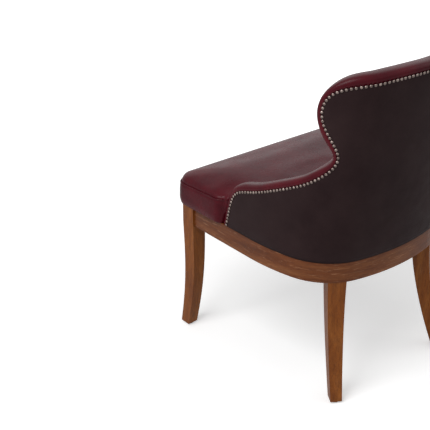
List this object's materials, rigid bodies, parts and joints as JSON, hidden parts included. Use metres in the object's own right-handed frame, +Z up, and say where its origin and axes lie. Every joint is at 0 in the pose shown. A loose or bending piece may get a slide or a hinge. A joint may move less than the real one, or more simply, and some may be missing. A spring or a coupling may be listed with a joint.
{
  "type": "wing back side chair",
  "caption": "Leather upholstered side chair with a raked wing back, sloping arms, boxed seat pad, bent wooden seat rail, sabre legs and a line of dome nails.",
  "frame": {"origin": "on the floor, midway across the chair and midway along its depth", "axes": "+Z up, -Y the way the sitter faces, +X the sitter's left"},
  "size_m": [0.5942, 0.5877, 0.8662],
  "materials": {
    "show_wood": "stained and satin polished hardwood",
    "frame_wood": "plain sawn hardwood",
    "leather": "dark burgundy leather with a soft sheen",
    "panel_leather": "dark brown grained leather",
    "nail_brass": "antiqued dome nails",
    "webbing": "woven jute straps",
    "hessian": "open weave hessian",
    "dust_cloth": "black non-woven dust cloth",
    "screw_steel": "zinc plated steel",
    "glide": "hard nylon"
  },
  "bodies": {
    "root": {"arm_post_left": "frame_wood", "arm_post_right": "frame_wood", "arm_rail_left": "frame_wood", "arm_rail_right": "frame_wood", "back_hessian": "hessian", "back_pad": "leather", "back_tacking_rail": "frame_wood", "back_webbing": "webbing", "block_screws": "screw_steel", "corner_block_front_left": "frame_wood", "corner_block_front_right": "frame_wood", "corner_block_rear_left": "frame_wood", "corner_block_rear_right": "frame_wood", "crest_rail": "frame_wood", "dome_nails": "nail_brass", "dust_cover": "dust_cloth", "floor_glides": "glide", "frame_dowels": "frame_wood", "front_rail": "show_wood", "hoop_rail": "show_wood", "leg_front_left": "show_wood", "leg_front_right": "show_wood", "leg_rear_left": "show_wood", "leg_rear_right": "show_wood", "outer_back": "panel_leather", "seat_hessian": "hessian", "seat_pad": "leather", "seat_webbing_across": "webbing", "seat_webbing_lengthwise": "webbing", "stile_left": "frame_wood", "stile_right": "frame_wood", "wing_board_left": "frame_wood", "wing_board_right": "frame_wood"}
  },
  "joints": []
}
